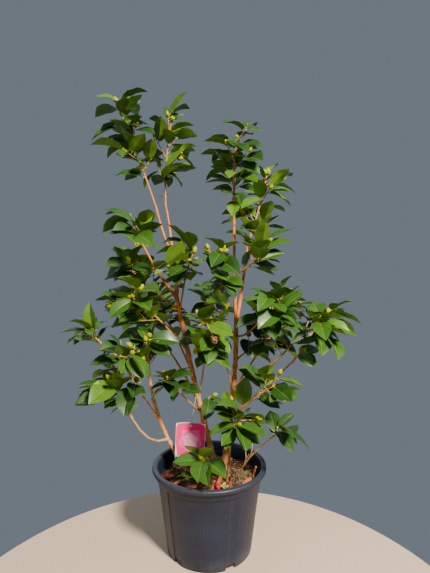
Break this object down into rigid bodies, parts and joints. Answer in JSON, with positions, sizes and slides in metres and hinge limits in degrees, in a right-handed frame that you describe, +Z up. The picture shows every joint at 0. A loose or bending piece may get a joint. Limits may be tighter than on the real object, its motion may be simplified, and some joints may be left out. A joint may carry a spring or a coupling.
{
  "type": "potted camellia shrub",
  "caption": "Young camellia shrub with upright forked stems, glossy evergreen leaves and fat green buds, standing in a round black nursery pot.",
  "frame": {"origin": "middle of the pot's flat underside", "axes": "+Z up along the pot's axis, -Y to the front of the plant, +X to its right as seen from the front"},
  "size_m": [0.7004, 0.4049, 1.1508],
  "materials": {
    "pot_plastic": "scuffed satin black plastic",
    "potting_mix": "damp bark compost",
    "bark": "smooth tan to cinnamon bark",
    "foliage": "glossy leathery leaf",
    "tag_card": "printed card, satin",
    "tag_cord": "thin pale plastic loop"
  },
  "bodies": {
    "root": {"pot": "pot_plastic", "soil": "potting_mix", "left_stem": "bark", "right_stem": "bark", "low_left_stem": "bark", "left_limb": "bark", "left_leader": "bark", "outer_shoot": "bark", "inner_shoot": "bark", "right_leader": "bark", "right_back_limb": "bark", "curved_left_branch": "bark", "low_left_twin": "bark", "far_left_bough": "bark", "diagonal_branch": "bark", "right_low_bough": "bark", "right_mid_bough": "bark", "front_right_shoot": "bark", "front_low_shoot": "bark", "base_shoot": "bark", "back_left_bough": "bark", "back_right_bough": "bark", "outer_crown": "foliage", "inner_crown": "foliage", "limb_crown": "foliage", "left_mid": "foliage", "left_mid_low": "foliage", "centre_mid": "foliage", "far_left": "foliage", "left_low": "foliage", "left_inner_low": "foliage", "left_twin_low": "foliage", "left_back": "foliage", "centre_low": "foliage", "centre_low_left": "foliage", "low_centre": "foliage", "centre_back": "foliage", "right_crown": "foliage", "right_shoulder": "foliage", "right_mid_left": "foliage", "right_mid_right": "foliage", "right_low_shoulder": "foliage", "far_right": "foliage", "diagonal_tip": "foliage", "right_inner_low": "foliage", "diagonal_leaves": "foliage", "base_cluster": "foliage", "front_right": "foliage", "front_rosette": "foliage", "back_left": "foliage", "back_right": "foliage", "care_tag": "tag_card", "tag_tie": "tag_cord"}
  },
  "joints": []
}
